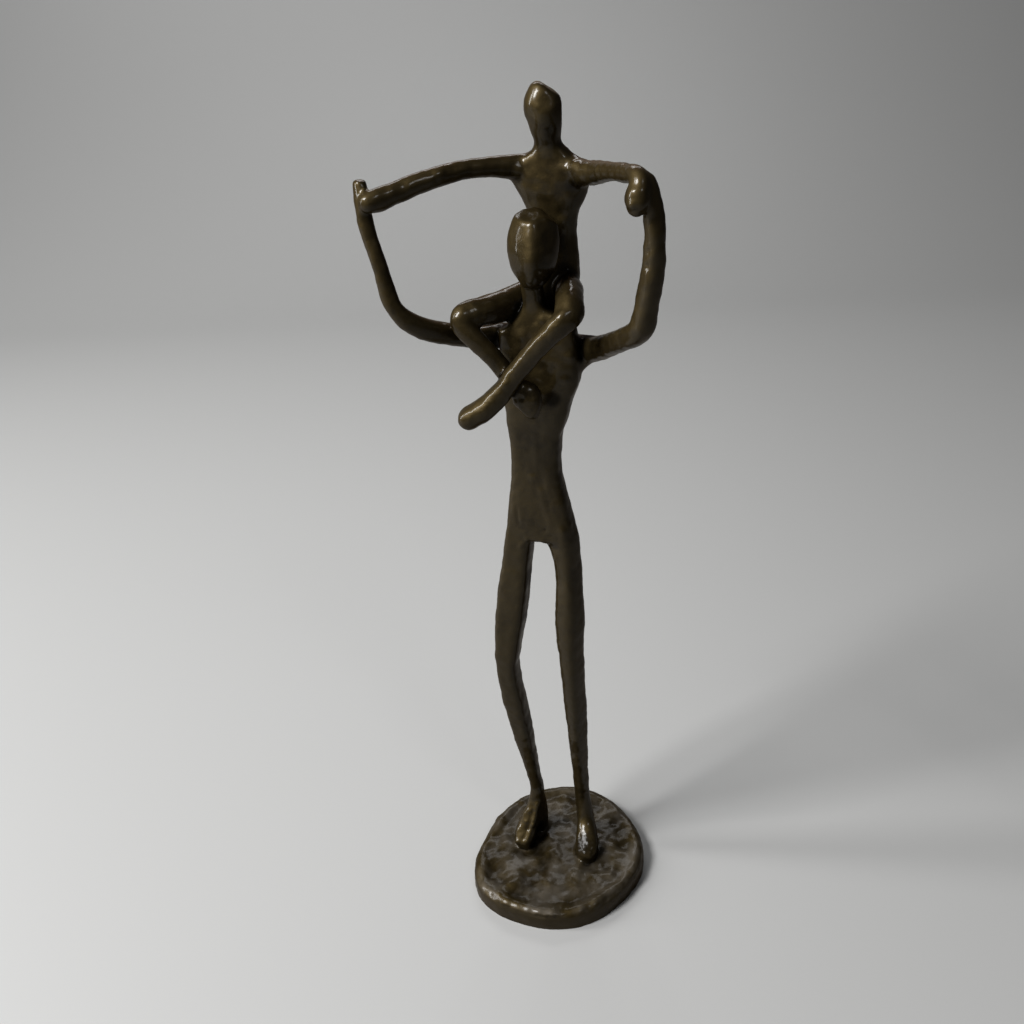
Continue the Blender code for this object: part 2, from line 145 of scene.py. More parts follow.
addCamera(cameraValues)
for lightName, values in lightValues.items():
    addLight(lightName, values)
addStudio(studio)
bpy.context.scene.view_settings.view_transform = "Standard"
print("camera, lights and floor placed")


def curveThrough(stations, steps):
    # smooth rows through the stations, with that many from each one to the next
    rows = []
    last = len(stations) - 1
    for index in range(last):
        before = stations[max(index - 1, 0)]
        start, end = stations[index], stations[index + 1]
        after = stations[min(index + 2, last)]
        for step in range(steps):
            t = step / steps
            rows.append([
                0.5 * (2 * q + (r - p) * t + (2 * p - 5 * q + 4 * r - s) * t ** 2
                       + (3 * q - p - 3 * r + s) * t ** 3)
                for p, q, r, s in zip(before, start, end, after)
            ])
    rows.append(list(stations[-1]))
    return rows


def bent(value, power):
    return math.copysign(abs(value) ** (2 / power), value)


def addRing(bm, centre, along, front, halfWidth, halfDepth, powers):
    # a ring's front and back have a power each: 2 is an ellipse, more squarer, less a ridge
    side = along.cross(front).normalized()
    face = side.cross(along).normalized()
    ring = bmesh.ops.create_circle(bm, cap_ends=False, segments=ringDetail["sides"], radius=1.0)["verts"]
    for vert in ring:
        power = powers[0] if vert.co.y > 0 else powers[1]
        vert.co = (centre + side * (bent(vert.co.x, power) * halfWidth)
                   + face * (bent(vert.co.y, power) * halfDepth))
    return ring


def ringEdges(ring):
    members = set(ring)
    return list({edge for vert in ring for edge in vert.link_edges
                 if edge.verts[0] in members and edge.verts[1] in members})


def skinRings(bm, rings):
    edges = [ringEdges(ring) for ring in rings]
    for first, second in zip(edges, edges[1:]):
        bmesh.ops.bridge_loops(bm, edges=first + second)
    for end in (edges[0], edges[-1]):
        bmesh.ops.edgeloop_fill(bm, edges=end)


def endRings(bm, centre, outward, form, halfWidth, halfDepth):
    # shrinking rings that round off an end
    reach = form["bulge"] * min(halfWidth, halfDepth)
    rings = []
    for step in range(1, ringDetail["capSteps"]):
        angle = math.pi / 2 * step / (ringDetail["capSteps"] - ringDetail["lastStep"])
        shrink = math.cos(angle)
        rings.append(addRing(bm, centre + outward * (reach * math.sin(angle)), outward,
                             form["front"], halfWidth * shrink, halfDepth * shrink, form["powers"]))
    return rings


def addForm(whole, form):
    # stations are x, y, z, half width and half depth; trims are planes that cut a form flat
    bm = bmesh.new()
    rows = curveThrough(form["stations"], ringDetail["steps"])
    centres = [placed(*row[:3]) for row in rows]
    last = len(rows) - 1
    rings = []
    for index, centre in enumerate(centres):
        along = (centres[min(index + 1, last)] - centres[max(index - 1, 0)]).normalized()
        halfWidth, halfDepth = rows[index][3] * unit, rows[index][4] * unit
        if index == 0:
            rings += endRings(bm, centre, -along, form, halfWidth, halfDepth)[::-1]
        rings.append(addRing(bm, centre, along, form["front"], halfWidth, halfDepth, form["powers"]))
        if index == last:
            rings += endRings(bm, centre, along, form, halfWidth, halfDepth)
    skinRings(bm, rings)
    for point, normal in form.get("trims", []):
        bmesh.ops.bisect_plane(bm, geom=bm.verts[:] + bm.edges[:] + bm.faces[:], plane_co=placed(*point),
                               plane_no=Vector(normal), clear_outer=True)
        bmesh.ops.edgeloop_fill(bm, edges=[edge for edge in bm.edges if edge.is_boundary])
    mesh = bpy.data.meshes.new("form")
    bm.to_mesh(mesh)
    bm.free()
    whole.from_mesh(mesh)
    bpy.data.meshes.remove(mesh)


# sides of a ring, rings from station to station and at an end, and how soon an end closes
ringDetail = {"sides": 32, "steps": 6, "capSteps": 6, "lastStep": 0.5}

# the way each form faces
forward = Vector((0.0, -1.0, 0.0))
headFront = Vector((0.28, -0.96, 0.0))
leftLegFront = Vector((-0.40, -0.92, 0.0))
rightArmFront = Vector((0.65, -0.76, 0.0))
leftArmFront = Vector((-0.65, -0.76, 0.0))
rightKneeFront = Vector((0.70, -0.53, 0.35))
leftKneeFront = Vector((0.71, 0.33, -0.60))
footFront = Vector((0.20, -0.97, 0.15))
instepFront = Vector((0.0, -0.8, 0.6))

# hips, waist, chest and neck, as one slab with soft corners
carrierTrunk = {
    "front": forward, "powers": (4.6, 2.8), "bulge": 0.6,
    "stations": [
        (-4.3, 5.0, 138.0, 11.8, 4.9),
        (-4.4, 5.0, 142.5, 11.4, 5.0),
        (-4.6, 5.0, 148.0, 10.4, 5.1),
        (-5.0, 5.0, 155.0, 9.1, 4.8),
        (-5.4, 5.0, 161.0, 8.2, 4.5),
        (-5.2, 5.0, 168.5, 8.2, 4.5),
        (-5.2, 4.8, 176.0, 8.9, 4.9),
        (-4.3, 4.5, 182.0, 10.1, 5.3),
        (-3.5, 4.3, 189.5, 11.6, 5.5),
        (-2.6, 4.0, 196.0, 12.7, 5.6),
        (-2.5, 3.6, 202.0, 12.5, 5.2),
        (-2.6, 3.2, 206.5, 12.2, 4.6),
        (-2.6, 3.0, 209.6, 11.6, 4.0),
        (-3.0, 3.0, 212.0, 8.2, 3.6),
        (-3.5, 3.0, 214.6, 4.3, 3.4),
        (-3.7, 2.8, 217.5, 2.9, 3.2),
        (-3.7, 2.0, 221.0, 2.8, 3.2),
        (-3.4, 1.0, 225.5, 3.0, 3.4),
    ],
}

# a faceless egg with a keel down its front and a flattened crown
carrierHead = {
    "front": headFront, "powers": (1.45, 2.1), "bulge": 0.28,
    "stations": [
        (-2.8, -0.4, 223.8, 3.9, 4.8),
        (-2.5, -0.7, 226.8, 5.9, 6.8),
        (-2.3, -0.8, 230.6, 7.1, 7.9),
        (-2.3, 0.0, 234.5, 7.5, 7.8),
        (-2.4, 0.7, 239.0, 6.9, 6.8),
        (-2.6, 1.1, 241.6, 6.0, 6.0),
        (-2.7, 1.2, 243.2, 5.0, 5.0),
        (-2.8, 1.2, 245.0, 3.4, 3.4),
    ],
    "trims": [((-3.2, 0.0, 242.7), (-0.04, -0.22, 1.0)), ((0.6, 0.0, 242.8), (0.55, 0.20, 0.80))],
}

# flat in front, with an edge to the inner side
rightLeg = {
    "front": forward, "powers": (4.6, 3.0), "bulge": 1.0,
    "stations": [
        (-11.0, 5.0, 141.0, 4.7, 4.4),
        (-12.1, 5.0, 134.5, 4.7, 4.8),
        (-13.4, 5.0, 125.5, 4.8, 4.9),
        (-14.9, 4.0, 114.0, 5.2, 5.1),
        (-16.2, 3.0, 102.0, 5.0, 5.0),
        (-17.4, 2.0, 90.0, 4.2, 4.7),
        (-17.8, 2.2, 82.5, 3.7, 4.4),
        (-16.8, 4.0, 68.0, 3.8, 4.4),
        (-15.0, 5.5, 53.0, 3.5, 4.0),
        (-13.0, 7.0, 38.0, 2.7, 3.2),
        (-11.3, 8.2, 24.0, 2.2, 2.8),
        (-10.9, 8.6, 17.0, 2.5, 3.2),
        (-10.7, 9.0, 10.0, 2.9, 3.8),
        (-10.7, 8.8, 3.0, 3.2, 4.2),
    ],
}

# turned so that an edge runs down its middle
leftLeg = {
    "front": leftLegFront, "powers": (3.6, 2.8), "bulge": 1.0,
    "stations": [
        (1.8, 5.0, 142.0, 5.4, 4.4),
        (3.2, 5.0, 136.0, 5.2, 4.5),
        (4.3, 5.0, 130.5, 4.1, 4.5),
        (4.9, 5.0, 125.0, 3.8, 4.5),
        (5.2, 4.5, 117.5, 3.8, 4.5),
        (5.4, 4.0, 105.5, 4.3, 4.8),
        (5.6, 4.0, 93.0, 3.7, 4.4),
        (5.9, 5.0, 79.5, 3.4, 4.2),
        (6.1, 6.5, 65.0, 3.3, 4.0),
        (6.4, 8.0, 50.0, 2.8, 3.6),
        (6.4, 10.0, 33.5, 2.5, 3.1),
        (6.5, 11.6, 22.0, 2.4, 2.9),
        (7.0, 12.4, 12.0, 2.6, 3.0),
        (7.8, 12.2, 4.0, 3.0, 3.4),
    ],
}

# comes from behind the chest's edge, then reaches forward and up to a flat hand
rightArm = {
    "front": rightArmFront, "powers": (2.4, 2.2), "bulge": 0.45,
    "stations": [
        (-7.0, 8.6, 203.9, 4.2, 4.0),
        (-15.2, 7.6, 204.3, 3.9, 3.8),
        (-22.2, 0.8, 205.3, 3.4, 3.5),
        (-26.9, -6.8, 208.3, 3.3, 3.3),
        (-31.4, -13.4, 211.2, 3.2, 3.2),
        (-35.5, -18.0, 215.1, 2.9, 3.0),
        (-38.1, -19.8, 219.2, 2.6, 2.8),
        (-39.7, -20.2, 223.6, 2.5, 2.6),
        (-41.6, -20.4, 232.5, 2.3, 2.4),
        (-44.3, -19.8, 241.2, 2.2, 2.4),
        (-45.4, -19.4, 247.6, 2.1, 2.6),
        (-45.6, -19.2, 251.4, 2.1, 2.9),
        (-45.6, -19.1, 253.9, 2.0, 2.5),
    ],
}

# small web beside the flat hand
rightThumb = {
    "front": rightArmFront, "powers": (2.0, 2.0), "bulge": 1.0,
    "stations": [
        (-45.0, -19.8, 248.8, 1.8, 2.2),
        (-44.2, -20.4, 250.4, 1.6, 2.0),
        (-43.4, -20.8, 251.4, 1.1, 1.5),
    ],
}

# comes from behind the chest's edge, thick at the elbow and thin at the wrist
leftArm = {
    "front": leftArmFront, "powers": (3.0, 2.4), "bulge": 1.0,
    "stations": [
        (6.0, 10.2, 201.2, 4.2, 4.0),
        (12.4, 6.6, 202.6, 4.0, 3.7),
        (19.3, -0.8, 206.1, 3.4, 3.4),
        (28.2, -12.4, 212.8, 3.2, 3.3),
        (34.0, -18.4, 217.7, 3.3, 3.3),
        (36.1, -20.2, 226.0, 3.1, 3.0),
        (37.5, -21.0, 234.3, 2.9, 2.8),
        (38.0, -21.8, 242.0, 2.7, 2.6),
        (37.6, -22.0, 248.5, 2.5, 2.6),
        (36.6, -22.0, 253.6, 2.4, 2.5),
        (35.6, -22.0, 256.2, 2.3, 2.3),
    ],
}

# the fillet under that arm's root
leftArmWeb = {
    "front": forward, "powers": (2.0, 2.0), "bulge": 1.0,
    "stations": [
        (6.0, 6.0, 198.2, 3.2, 3.0),
        (9.6, 6.2, 198.6, 2.6, 2.8),
        (12.6, 5.4, 200.6, 2.3, 2.6),
    ],
}

# seat, waist, shoulders and neck
childTrunk = {
    "front": forward, "powers": (2.6, 2.4), "bulge": 1.0,
    "stations": [
        (-1.0, 11.6, 209.5, 5.8, 4.0),
        (-1.0, 12.6, 213.5, 6.6, 5.0),
        (-0.9, 13.4, 218.5, 7.2, 5.2),
        (-0.6, 13.8, 223.5, 7.4, 5.2),
        (-0.4, 14.0, 229.0, 6.8, 4.7),
        (-0.7, 14.0, 235.0, 6.6, 4.3),
        (-0.9, 13.5, 240.2, 7.5, 4.4),
        (-0.8, 13.1, 243.4, 8.7, 4.5),
        (-0.7, 12.8, 246.6, 10.4, 4.6),
        (-0.8, 12.6, 249.6, 11.5, 4.6),
        (-0.9, 12.4, 252.4, 11.5, 4.4),
        (-1.0, 12.2, 254.8, 10.0, 4.1),
        (-1.0, 12.0, 256.5, 8.0, 3.8),
        (-1.0, 11.8, 257.9, 5.8, 3.6),
        (-1.1, 11.5, 259.4, 4.2, 3.5),
        (-1.1, 11.2, 261.0, 3.5, 3.5),
        (-1.2, 10.8, 263.0, 3.6, 3.9),
    ],
}

# a faceless egg, cut flat at its left side and on the left of its crown
childHead = {
    "front": headFront, "powers": (1.85, 2.2), "bulge": 0.5,
    "stations": [
        (-1.2, 10.8, 261.4, 3.7, 4.2),
        (-1.2, 10.5, 264.6, 4.9, 5.2),
        (-1.1, 10.2, 266.9, 5.5, 5.9),
        (-1.3, 10.0, 269.0, 6.0, 6.2),
        (-1.5, 10.0, 271.0, 6.0, 6.1),
        (-1.5, 10.0, 273.2, 5.1, 5.3),
        (-1.5, 10.1, 274.6, 4.3, 4.4),
    ],
    "trims": [((3.5, 10.0, 268.0), (0.927, 0.375, 0.0)), ((2.7, 10.0, 273.0), (0.50, 0.20, 0.84))],
}

# ends in a stub held by the flat hand
childRightArm = {
    "front": rightArmFront, "powers": (2.0, 2.0), "bulge": 1.0,
    "stations": [
        (-4.5, 12.4, 252.2, 4.0, 3.8),
        (-10.1, 11.6, 253.3, 3.8, 3.6),
        (-16.6, 5.0, 254.4, 3.0, 3.0),
        (-22.9, -2.0, 254.5, 2.7, 2.7),
        (-29.0, -9.0, 253.2, 3.0, 3.0),
        (-35.5, -15.2, 251.0, 3.1, 3.0),
        (-39.2, -19.4, 249.6, 3.2, 3.0),
        (-41.6, -22.0, 249.0, 2.9, 2.9),
    ],
}

# thick at the armpit, bends over the other hand
childLeftArm = {
    "front": leftArmFront, "powers": (2.0, 2.0), "bulge": 0.6,
    "stations": [
        (3.5, 12.0, 252.6, 3.8, 3.8),
        (8.0, 10.8, 252.8, 3.9, 3.7),
        (11.8, 7.2, 253.0, 3.7, 3.5),
        (16.0, 2.8, 253.9, 3.1, 3.1),
        (22.3, -6.0, 255.6, 2.6, 2.5),
        (29.3, -16.0, 256.9, 2.5, 2.4),
        (33.0, -21.8, 257.4, 2.6, 2.5),
        (34.8, -24.4, 255.8, 2.6, 2.4),
    ],
}

# a soft lump that hangs over the carrier's hand
childLeftHand = {
    "front": leftArmFront, "powers": (2.0, 2.0), "bulge": 0.8,
    "stations": [
        (34.9, -24.4, 256.2, 2.2, 2.2),
        (34.3, -25.2, 254.2, 3.2, 2.7),
        (34.1, -25.6, 251.9, 3.7, 2.9),
        (34.2, -25.4, 250.1, 2.7, 2.4),
    ],
}

# passes behind the other shin
childRightLeg = {
    "front": rightKneeFront, "powers": (2.0, 2.0), "bulge": 1.0,
    "stations": [
        (-3.5, 13.5, 218.4, 4.9, 4.6),
        (-7.8, 11.0, 216.9, 4.6, 4.4),
        (-13.6, 2.0, 215.3, 4.7, 4.1),
        (-17.2, -5.0, 215.4, 4.3, 3.7),
        (-21.0, -9.2, 214.8, 4.1, 3.5),
        (-21.2, -10.6, 212.2, 3.5, 3.2),
        (-17.7, -10.2, 208.4, 3.1, 2.9),
        (-13.0, -8.6, 202.8, 3.0, 2.8),
        (-8.9, -7.4, 196.8, 2.9, 2.7),
        (-6.0, -7.0, 193.2, 2.8, 2.5),
        (-3.8, -7.2, 191.4, 2.6, 2.2),
    ],
}

# a rhombic foot that points down
childRightFoot = {
    "front": footFront, "powers": (1.8, 2.0), "bulge": 0.35,
    "stations": [
        (-5.4, -7.2, 195.0, 2.6, 2.2),
        (-4.4, -7.8, 193.4, 3.9, 2.8),
        (-2.9, -8.3, 191.2, 4.7, 3.1),
        (-1.9, -8.4, 188.8, 4.1, 2.8),
        (-1.5, -8.2, 186.6, 3.0, 2.3),
        (-1.6, -8.0, 184.8, 1.9, 1.7),
    ],
}

# crosses in front, ends in a long foot
childLeftLeg = {
    "front": leftKneeFront, "powers": (2.0, 2.9), "bulge": 1.0,
    "stations": [
        (0.2, 15.0, 218.4, 4.4, 4.4),
        (3.0, 12.4, 219.4, 4.2, 4.2),
        (6.0, 6.5, 220.2, 4.0, 4.1),
        (8.3, 0.0, 219.9, 3.9, 4.0),
        (10.2, -5.6, 218.9, 4.0, 4.0),
        (11.2, -9.4, 217.0, 4.0, 3.9),
        (8.6, -11.8, 214.6, 3.4, 3.2),
        (1.7, -12.2, 207.4, 3.1, 3.0),
        (-4.8, -12.0, 199.4, 3.1, 2.9),
        (-9.3, -12.8, 193.4, 3.6, 3.2),
        (-13.9, -14.4, 188.7, 4.0, 3.4),
        (-19.2, -15.6, 185.2, 3.7, 3.3),
    ],
}

# each foot runs from the shin down the instep to the toe, its sole a little below the base's top
rightFoot = {
    "front": instepFront, "powers": (3.6, 2.6), "bulge": 0.5,
    "stations": [
        (-10.8, 8.0, 22.0, 2.2, 2.7),
        (-11.1, 7.3, 16.9, 2.7, 3.0),
        (-11.6, 6.0, 12.4, 3.2, 3.4),
        (-12.3, 4.1, 8.6, 3.8, 3.6),
        (-12.9, 1.8, 4.9, 4.2, 3.4),
        (-13.4, -0.9, 2.5, 4.0, 2.8),
        (-13.8, -3.1, 1.1, 3.3, 2.3),
    ],
}

leftFoot = {
    "front": instepFront, "powers": (2.2, 2.4), "bulge": 0.8,
    "stations": [
        (7.0, 12.0, 20.0, 2.3, 2.7),
        (7.4, 11.6, 15.6, 2.6, 3.1),
        (8.0, 10.7, 11.0, 3.0, 3.5),
        (8.9, 8.9, 7.3, 3.6, 3.8),
        (10.1, 5.5, 4.9, 4.3, 3.8),
        (11.1, 2.0, 3.0, 4.6, 3.4),
        (11.8, -0.7, 2.0, 4.0, 2.8),
        (12.1, -1.8, 1.4, 3.2, 2.4),
    ],
}

# poured base: millimetres; its lip and channel as height, share of the radius and width;
# waves of its outline as share, count round and offset
base = {
    "radius": 33.15, "rimRounding": 2.8, "sides": 160, "topSteps": 30, "rimSteps": 10,
    "lip": (0.45, 0.915, 0.040), "channel": (0.35, 0.80, 0.06),
    "outlineWaves": [(0.036, 1, 1.5), (0.059, 2, 2.65), (0.026, 3, -0.51), (0.0105, 4, 2.4),
                     (0.0117, 5, 0.94)],
}


def baseReach(angle):
    return 1 + sum(height * math.cos(count * angle - offset)
                   for height, count, offset in base["outlineWaves"])


def baseRise(share):
    lip, channel = base["lip"], base["channel"]
    return (lip[0] * math.exp(-((share - lip[1]) / lip[2]) ** 2)
            - channel[0] * math.exp(-((share - channel[1]) / channel[2]) ** 2))


def addBase(bm):
    # rings from the middle of the top out over the rim and down below the underside
    rim = base["radius"] - base["rimRounding"]
    rows = [(rim * step / base["topSteps"], baseRise(rim * step / base["topSteps"] / base["radius"]))
            for step in range(1, base["topSteps"])]
    for step in range(base["rimSteps"] + 1):
        angle = math.pi / 2 * step / base["rimSteps"]
        radius = rim + base["rimRounding"] * math.sin(angle)
        rows.append((radius, baseRise(radius / base["radius"]) * math.cos(angle)
                     - base["rimRounding"] * (1 - math.cos(angle))))
    rows.append((base["radius"], -written["baseThickness"] - base["rimRounding"]))
    rings = []
    for radius, rise in rows:
        ring = bmesh.ops.create_circle(bm, cap_ends=False, segments=base["sides"], radius=1.0)["verts"]
        for vert in ring:
            angle = math.atan2(vert.co.y, vert.co.x)
            reach = radius * baseReach(angle)
            vert.co = placed(reach * math.cos(angle), reach * math.sin(angle), rise)
        rings.append(ring)
    skinRings(bm, rings)


# the skin over all forms: grid step, passes that soften the joins and their strength,
# and how far a joint's reach draws in over its passes
skinValues = {"gridStep": 0.66, "softening": 8, "factor": 0.5, "innerShare": 0.5}


def buildSkin():
    bm = bmesh.new()
    for form in (carrierTrunk, carrierHead, rightLeg, leftLeg, rightFoot, leftFoot, rightArm,
                 rightThumb, leftArm, leftArmWeb, childTrunk, childHead, childRightArm, childLeftArm,
                 childLeftHand, childRightLeg, childRightFoot, childLeftLeg):
        addForm(bm, form)
    addBase(bm)
    bmesh.ops.recalc_face_normals(bm, faces=bm.faces)
    mesh = bpy.data.meshes.new("forms")
    bm.to_mesh(mesh)
    bm.free()
    forms = bpy.data.objects.new("forms", mesh)
    bpy.context.scene.collection.objects.link(forms)
    remesh = forms.modifiers.new("oneSkin", "REMESH")
    remesh.mode = "VOXEL"
    remesh.voxel_size = skinValues["gridStep"] * unit
    smooth = forms.modifiers.new("softJoins", "SMOOTH")
    smooth.factor = skinValues["factor"]
    smooth.iterations = skinValues["softening"]
    skin = bpy.data.meshes.new_from_object(forms.evaluated_get(bpy.context.evaluated_depsgraph_get()))
    bpy.data.objects.remove(forms)
    skin.name = "ironFigures"
    return skin


skin = buildSkin()
print("one skin over all forms,", len(skin.polygons), "faces")


# joins that are softened further: place, reach, passes
joints = [
    (-11.0, 12.0, 248.5, 4.0, 14), (10.5, 11.0, 248.0, 4.5, 14),    # child's armpits
    (-9.0, 11.5, 256.5, 3.5, 8), (6.5, 11.0, 256.5, 3.5, 8),        # child's shoulders
    (-1.0, 10.5, 260.8, 4.5, 8), (11.0, 10.0, 253.0, 6.5, 26),      # child's neck, left arm
    (1.8, -1.0, 241.8, 3.6, 8), (22.5, 2.0, 206.8, 6.0, 10),        # large head, left forearm
    (10.5, 5.5, 198.0, 4.5, 14), (-14.0, 6.0, 199.5, 4.0, 8),       # carrier's armpits
    (-10.0, 4.0, 131.0, 6.0, 12), (3.0, 4.0, 133.0, 6.0, 12),       # hips
    (-11.2, 5.0, 16.0, 5.0, 8), (7.6, 9.0, 15.0, 5.0, 8),           # ankles
    (-11.0, 2.0, 221.0, 4.0, 6), (34.0, -22.0, 255.5, 4.5, 6),      # thigh under the head, hand
    (-44.5, -20.0, 249.0, 3.0, 5), (-7.0, 12.0, 204.5, 6.0, 20),    # flat hand, root of the arm
]


def softenJoints(mesh):
    bm = bmesh.new()
    bm.from_mesh(mesh)
    for x, y, z, reach, passes in joints:
        middle = placed(x, y, z)
        near = [vert for vert in bm.verts if (vert.co - middle).length < reach * unit]
        for step in range(passes):
            inner = reach * unit * (1 - skinValues["innerShare"] * step / passes)
            bmesh.ops.smooth_vert(bm, verts=[v for v in near if (v.co - middle).length < inner],
                                  factor=skinValues["factor"], use_axis_x=True, use_axis_y=True,
                                  use_axis_z=True)
    bm.to_mesh(mesh)
    bm.free()


softenJoints(skin)
print("joints softened")

# uneven casting in millimetres: height added everywhere, then heights, widths and seeds of the
# lumps everywhere, and heights and widths of the base's dents, which are drawn out front to back;
# the noise is turned, so that its grid doesn't lie along a limb
relief = {
    "trim": 0.02, "lumps": [(0.26, 8.0, 3.7), (0.17, 3.0, 11.3), (0.06, 1.6, 1.9)],
    "hammerSeed": 7.9, "noiseTurn": (0.62, 0.47, 0.81),
    "baseDents": [(0.85, 10.0), (0.34, 5.2), (0.05, 2.2)], "baseStretch": 1.5, "baseSeed": 5.3,
}

# the base's top: lies lower than this in millimetres, and faces up more than this
baseTop = {"below": 1.2, "upward": 0.6}

# places where the hammer marks are stronger: place, reach, height and width
hammered = [
    (-3.0, -2.0, 203.0, 13.0, 0.34, 3.4),      # chest
    (4.0, -2.0, 196.0, 8.0, 0.40, 3.0),
    (-3.0, -2.0, 188.0, 9.0, 0.24, 3.6),
    (-5.0, 0.0, 165.0, 9.0, 0.16, 3.8),        # belly
    (-4.0, 0.0, 148.0, 10.0, 0.16, 4.2),
    (0.0, 8.5, 248.0, 11.0, 0.40, 3.2),        # child's trunk
    (-2.0, 9.0, 236.0, 8.0, 0.30, 3.2),
    (-1.0, 4.0, 268.0, 8.0, 0.22, 4.0),        # child's head
    (-2.5, -6.0, 234.0, 9.0, 0.14, 4.5),
    (-14.0, -1.0, 6.0, 8.0, 0.26, 2.0),        # feet
    (11.0, 0.0, 5.0, 9.0, 0.22, 1.4),
    (-17.0, -14.0, 186.0, 7.0, 0.18, 3.0),
    (34.0, -27.0, 252.0, 5.0, 0.40, 2.4),
    (-20.0, -9.0, 213.0, 8.0, 0.24, 2.8),      # child's knees
    (8.0, -11.0, 216.0, 8.0, 0.24, 2.8),
]

# single marks: place, reach and height, which is below nothing for a dent
marks = [
    (-3.1, 4.8, 272.0, 3.2, 0.22), (0.9, 4.6, 271.1, 2.6, -0.22),     # child's head
    (-0.8, 4.6, 267.5, 2.6, 0.12), (1.4, 5.6, 263.2, 2.2, -0.20),
    (-9.0, 8.2, 252.8, 2.6, 0.40), (7.9, 7.3, 254.6, 3.2, 0.55),      # child's trunk
    (5.2, 8.2, 250.2, 2.4, 0.35), (3.0, 9.6, 238.9, 2.6, 0.42),
    (-25.8, -9.2, 255.0, 2.4, 0.45), (-33.2, -17.0, 252.4, 2.2, -0.22),   # child's right arm
    (-36.0, -18.6, 251.6, 1.8, 0.20), (18.0, -2.6, 255.2, 2.2, 0.24),
    (35.9, -27.0, 249.2, 1.0, -0.50), (33.6, -28.2, 251.6, 1.8, 0.22),    # child's left hand
    (3.9, -3.7, 237.0, 3.2, -0.34), (5.0, -3.4, 232.8, 2.4, 0.20),    # carrier's head
    (-0.6, -8.0, 240.4, 0.9, 0.12), (-0.5, -8.6, 237.6, 0.9, 0.14), (-0.3, -9.0, 234.8, 0.9, 0.12),
    (-0.3, -0.4, 212.6, 1.8, 0.45), (-1.8, -0.6, 210.8, 1.6, 0.20),   # collar
    (-16.5, 3.3, 206.8, 1.6, 0.40), (-16.0, 2.8, 203.9, 1.5, 0.36),   # chest's edge
    (8.2, -0.7, 201.9, 1.9, 0.45), (6.9, -1.0, 194.6, 2.2, 0.40), (3.0, -2.0, 198.0, 2.2, -0.30),
    (10.2, -13.4, 218.4, 2.6, 0.30), (6.0, -14.2, 213.4, 2.0, -0.18), # thigh and shin
    (-6.9, -15.0, 197.2, 2.0, 0.50), (-5.4, -14.6, 199.6, 1.6, -0.28),
    (-15.4, -14.8, 190.6, 2.4, 0.26), (-19.9, -13.8, 186.5, 1.8, 0.20),
    (-1.0, -11.4, 188.3, 1.3, 0.42), (-3.4, -11.0, 191.6, 1.5, -0.45), (0.2, -10.6, 191.0, 1.2, 0.30),
    (-4.4, -10.4, 193.0, 1.4, 0.34),
    (-3.0, 0.4, 158.3, 3.2, -0.36), (-5.4, 0.3, 160.2, 2.2, 0.24),    # belly
    (-1.6, 0.1, 141.8, 1.0, -0.34), (0.3, 0.3, 139.9, 1.0, -0.30),
    (36.8, -23.8, 239.5, 1.2, -0.34), (36.0, -24.2, 237.6, 1.0, 0.22),    # left forearm
    (36.5, -23.6, 235.6, 1.2, -0.34), (35.8, -23.8, 233.6, 1.0, 0.20),
    (-15.6, -4.2, 2.4, 1.6, 0.35), (-12.6, 3.2, 13.0, 1.6, 0.35),     # right foot
    (-13.4, 0.8, 9.4, 1.3, 0.24), (-11.2, 4.4, 15.4, 1.2, -0.22),
]

# ridges and grooves: from, to, reach and height
strokes = [
    ((-9.6, 4.4, 16.5), (-10.4, 0.4, 8.8), 1.2, 0.55),            # right foot
    ((-10.4, 0.4, 8.8), (-11.8, -3.6, 3.4), 1.2, 0.50),
    ((-11.0, 3.2, 13.6), (-12.2, -0.6, 7.0), 0.9, -0.50),
    ((-12.2, -0.6, 7.0), (-13.0, -3.4, 4.2), 0.8, -0.32),
    ((-15.4, 5.6, 11.0), (-16.8, 0.6, 5.4), 1.0, 0.30),
    ((-11.0, 0.2, 148.8), (-10.8, 0.2, 143.0), 1.0, -0.32),       # groin
    ((-10.6, 0.4, 134.0), (-8.0, 0.4, 137.4), 1.1, 0.30),         # arch between the legs
    ((-8.0, 0.4, 137.4), (-2.6, 0.6, 137.6), 1.1, 0.30),
    ((-2.6, 0.6, 137.6), (1.6, 1.2, 131.2), 1.1, 0.30),
    ((1.6, 1.2, 131.2), (2.4, 1.4, 124.0), 1.0, 0.22),
    ((-8.6, 0.2, 131.6), (-8.4, 0.2, 120.0), 1.0, 0.22),
    ((-6.0, -10.0, 192.2), (-4.0, -10.8, 188.4), 0.8, 0.34),      # edges of the small foot
    ((-4.0, -10.8, 188.4), (-2.4, -10.4, 185.4), 0.8, 0.34),
    ((-2.4, -10.4, 185.4), (-1.0, -10.2, 185.2), 0.8, 0.3),
    ((-1.0, -10.2, 185.2), (1.6, -9.8, 189.6), 0.8, 0.28),
    ((1.6, -9.8, 189.6), (1.2, -9.6, 192.2), 0.8, 0.24),
    ((-1.6, -8.2, 242.0), (-0.2, -9.2, 232.6), 0.8, 0.12),        # keel of the large head
    ((-4.2, 0.1, 175.0), (-3.8, 0.1, 160.0), 1.6, 0.16),          # ridge down the trunk
    ((-3.4, 0.1, 158.0), (0.2, 0.3, 144.0), 1.6, 0.20),
]


def lumps(point, width, seed):
    # unevenness at a place, from -1 to 1, the same at every run
    return noise.noise(Vector((point[0] / width + seed, point[1] / width - seed, point[2] / width)))


def dented(spot):
    # the base's top: soft dents that run a little from front to back
    point = (spot[0] * relief["baseStretch"], spot[1], 0.0)
    return sum(rise * lumps(point, width, relief["baseSeed"]) for rise, width in relief["baseDents"])


